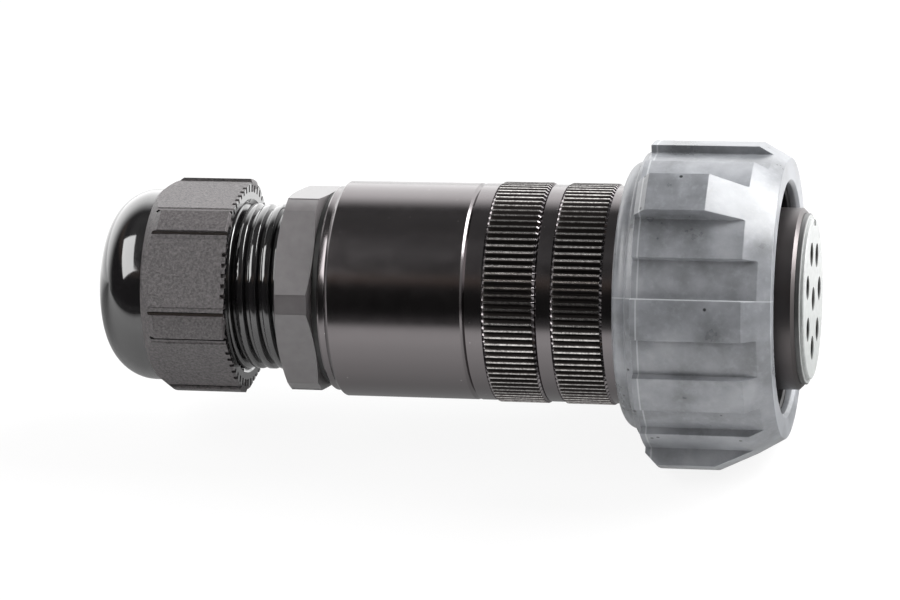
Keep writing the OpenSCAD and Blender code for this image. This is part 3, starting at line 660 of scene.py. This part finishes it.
knurled_piece("housing_turned", [
    (-45.0, 12.0), (-45.0, 13.5), (-44.5, 14.0), (-38.75, 14.0), (-38.75, 15.95), (-38.5, R_BODY),
    (FRONT_KNURL[0] - 0.02, R_BODY), *knurl_stations(*FRONT_KNURL), (FRONT_KNURL[1] + 0.02, R_BODY),
    (-25.8, R_BODY), (-25.5, 15.9), (-25.5, 12.65), (-33.05, 12.65), (-33.05, 12.0)],
    *FRONT_KNURL, "front_housing")

# ---------------------------------------------------------------- cable gland


def hexagon(flat, land, half_land, angle, foot=0.0, panel=0.0, rise=0.0):
    """Section of a hexagon with round lands at its corners, as (radius, degrees) points.

    flat and land are their distances from the axis, and half_land is half a land's width in degrees. A
    panel is half the width of the middle of a flat, and stands proud of the rest by rise. A foot is the
    depth of a groove beside each land.
    """
    low = flat - rise
    edge = low * math.tan(math.radians(30 - half_land))
    half = [(panel, flat), (panel + 0.12, low)] if panel else []
    if foot:
        half += [(edge - 0.52, low), (edge - 0.46, low - foot), (edge - 0.05, low - foot)]
    else:
        half.append((edge, low))
    points = []
    for side in range(6):
        middle = angle + 60 * side
        for sign, run in ((-1, half[::-1]), (1, half)):
            points += [(math.hypot(aside, out), middle + sign * math.degrees(math.atan2(aside, out)))
                       for aside, out in run]
        points += [(land, middle + 30 + half_land * i / 3) for i in range(-3, 4)]
    return points


# Hexagon of the gland's body, with a land on its corners, which are turned off at both ends
hex_corner = HEX_FLAT / math.cos(math.radians(24))
gland_hex = prism("gland_hex", hexagon(HEX_FLAT, hex_corner, 5.3, HEX_ANGLE), HEX_REAR, HEX_FRONT)
combined(gland_hex, "INTERSECT", turned("hex_chamfer", [
    (HEX_REAR, 5), (HEX_REAR, HEX_FLAT), (HEX_REAR + 0.7, 16.5), (HEX_FRONT - 0.7, 16.5),
    (HEX_FRONT, HEX_FLAT), (HEX_FRONT, 5)], steps=96))
rounded(gland_hex, 0.12, limit=24)

# Barrel of the gland's body, slotted into claws at its rear end
barrel = turned("gland_barrel", [
    (-97.5, 10.65), (-97.5, 11.4), (-96.7, 11.8), (-92.5, 11.8), (-92.5, R_THREAD_ROOT - 0.3),
    (-92.0, R_THREAD_ROOT), (-73.0, R_THREAD_ROOT), (-72.6, R_THREAD), (-63.9, R_THREAD), (-63.4, 12.0),
    (-63.4, 9.3), (-89.0, 9.3), (-89.0, 10.65)])
for k in range(CLAW_SLOTS):
    slot = radial_box(-95, 11, length=5.01, height=4, width=1.2, angle=360 / CLAW_SLOTS * k)
    combined(barrel, "DIFFERENCE", slot)
rounded(barrel, 0.1)

# Clamping thread: one ridge, rounded at its crest, wound on the barrel
thread = wound("gland_thread", [
    (-0.9, R_THREAD_ROOT - 0.1), (-0.62, R_THREAD_ROOT + 0.5), (-0.5, R_THREAD - 0.1),
    (-0.36, R_THREAD - 0.01), (0.36, R_THREAD - 0.01),
    (0.5, R_THREAD - 0.1), (0.62, R_THREAD_ROOT + 0.5), (0.9, R_THREAD_ROOT - 0.1)],
    THREAD_START, PITCH, THREAD_TURNS, steps=96)
smoothed(thread, 50)

handed_over(gland_hex, "plug_body", "gland_nylon", satin_nylon)
handed_over(joined(barrel, thread), "plug_body", "gland_nylon", polished_nylon, "gland_body")

# Cap nut: hexagon with raised lands and panels, a polished dome, and ratchet notches round the open end.
# The tools that cut it run a little past it
nut = prism("cap_nut", hexagon(NUT_FLAT, NUT_LAND, 6.5, NUT_ANGLE, FOOT_GROOVE, NUT_PANEL, PANEL_RISE),
            NUT_HEX_REAR - 2, NUT_FRONT)
combined(nut, "INTERSECT", turned("nut_chamfer", [
    (NUT_HEX_REAR - 1, 5), (NUT_HEX_REAR - 1, 14.25), (NUT_LANDS_REAR, NUT_LAND + 0.4),
    (NUT_LANDS_FRONT, NUT_LAND + 0.4), (NUT_FRONT, 15.6), (NUT_FRONT, 5)]))
combined(nut, "UNION", turned("nut_dome", [
    (NUT_FRONT - 1, 5), (NUT_REAR, 5), *arc(NUT_REAR + DOME_ARC, DOME_ARC_MIDDLE, DOME_ARC, 180, 90, 16),
    (NUT_FRONT - 1, DOME_ARC_MIDDLE + DOME_ARC)]))
combined(nut, "DIFFERENCE", turned("nut_bore", [
    (NUT_FRONT + 1, 1), (NUT_REAR - 2.2, 1), (NUT_REAR - 2.2, 9.5), (NUT_REAR + 0.15, 9.5), (-106.2, 8.9),
    (-106.0, 8.9), (-106.0, 9.0), (-100.5, R_NUT_BORE), (-86.3, R_NUT_BORE), (NUT_FRONT, R_NUT_BORE + 0.6),
    (NUT_FRONT + 1, R_NUT_BORE + 0.6)]))
notches = [radial_box(NUT_FRONT - 0.05, NUT_FLAT, length=1.1, height=1.1, width=0.62,
                      angle=360 / NOTCHES * (k + 0.5)) for k in range(NOTCHES)]
combined(nut, "DIFFERENCE", joined(*notches))
flattened(smoothed(nut, 24))
handed_over(nut, "gland_nut", "nut_nylon", eroded_nylon, "gland_nut")


def nut_polish_and_groove_shade(x, r, angle):
    """Whether the nut is glossy black: its polished dome and bore, and painted shade in the land grooves.
    """
    dome = r < DOME_ARC_MIDDLE + DOME_ARC + 0.03 and x < NUT_LANDS_REAR + 0.4
    bore = r < R_NUT_BORE + 0.52
    height = max(r * math.cos(math.radians(angle - NUT_ANGLE - 60 * side)) for side in range(6))
    # The grooves beside the lands get the black gloss as painted shade
    by_land = NUT_FLAT - 0.05 < r < NUT_LAND - 0.3 and NUT_LANDS_REAR + 0.1 < x < NUT_LANDS_FRONT - 0.1
    return dome or bore or (by_land and height < NUT_FLAT - FOOT_GROOVE)


# Dome and bore are polished; beside the lands the black gloss is painted shade
refinished(nut, polished_nylon, nut_polish_and_groove_shade)

# ---------------------------------------------------------------- return spring
spring = wound("return_spring_wire", arc(0, R_SPRING, R_WIRE, 0, 330, 11), SPRING_REAR,
               (SPRING_FRONT - SPRING_REAR) / SPRING_TURNS, SPRING_TURNS, steps=48)
bpy.ops.object.shade_smooth()
handed_over(spring, "plug_body", "spring_steel", spring_steel, "return_spring")
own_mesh(spring)

# ---------------------------------------------------------------- finishes of the CAD nodes that stay
FINISHES = {
    blasted_anodised: ["plug_shell"],
    insulator: ["insert_front", "insert_rear"],
    passivated: ["sleeve_liner", "latch_ring", "insert_lock_ring"],
    spring_steel: ["spring_seat", "sleeve_stop_ring"],
    rubber: ["mating_seal", "shell_o_ring", "backshell_o_ring", "gland_gasket", "gland_seal"],
    acetal: ["gland_slip_ring"],
    gold_plate: [f"contact_{k}" for k in range(1, 9)],
}
for material, names in FINISHES.items():
    for name in names:
        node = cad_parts[name]
        node.data.materials.clear()
        node.data.materials.append(material)
